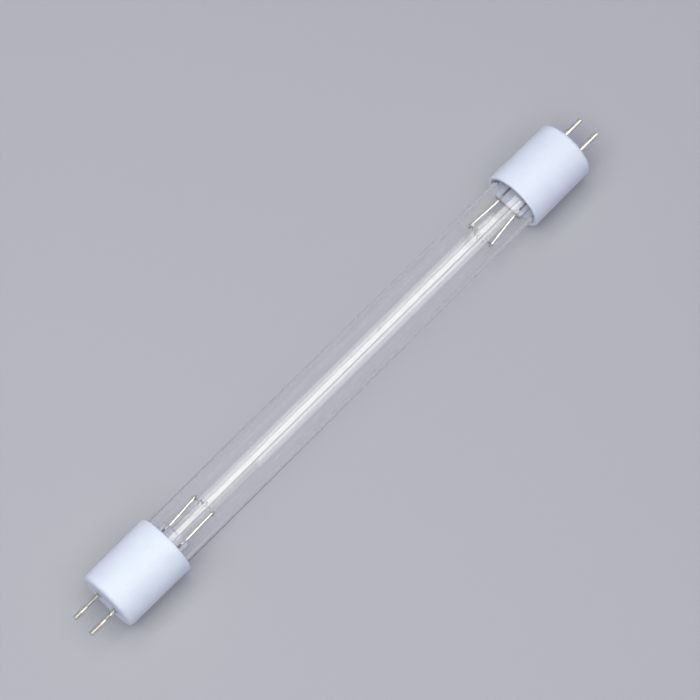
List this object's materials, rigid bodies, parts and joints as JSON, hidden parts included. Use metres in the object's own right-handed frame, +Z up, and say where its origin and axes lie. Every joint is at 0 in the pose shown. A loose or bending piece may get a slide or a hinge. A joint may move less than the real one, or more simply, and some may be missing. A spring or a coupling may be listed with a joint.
{
  "type": "germicidal lamp tube",
  "caption": "Clear tubular low-pressure ultraviolet lamp with white ceramic end caps, hollow contact pins and a coated coil on a glass stem at each end.",
  "frame": {"origin": "on the resting surface, below the middle of the lamp", "axes": "+X along the tube towards end b, +Y across in the plane of the pins, +Z up"},
  "size_m": [0.155, 0.0144, 0.0144],
  "materials": {
    "quartz_glass": "clear, polished",
    "stem_glass": "clear, pressed",
    "cap_ceramic": "fine matt, unglazed white",
    "lamp_cement": "rough",
    "emitter_coating": "powdery white coating on a tungsten coil",
    "nickel_pin": "drawn tube, nickel plated",
    "nickel_wire": "bright drawn",
    "copper_wire": "oxidised copper cladding",
    "mercury": "liquid metal beads"
  },
  "bodies": {
    "root": {"glass_tube": "quartz_glass", "cap_a": "cap_ceramic", "cement_a": "lamp_cement", "stem_a": "stem_glass", "filament_a": "emitter_coating", "pin_a1": "nickel_pin", "inner_lead_a1": "nickel_wire", "outer_lead_a1": "copper_wire", "pin_a2": "nickel_pin", "inner_lead_a2": "nickel_wire", "outer_lead_a2": "copper_wire", "cap_b": "cap_ceramic", "cement_b": "lamp_cement", "stem_b": "stem_glass", "filament_b": "emitter_coating", "pin_b1": "nickel_pin", "inner_lead_b1": "nickel_wire", "outer_lead_b1": "copper_wire", "pin_b2": "nickel_pin", "inner_lead_b2": "nickel_wire", "outer_lead_b2": "copper_wire", "mercury_droplets": "mercury"}
  },
  "joints": []
}
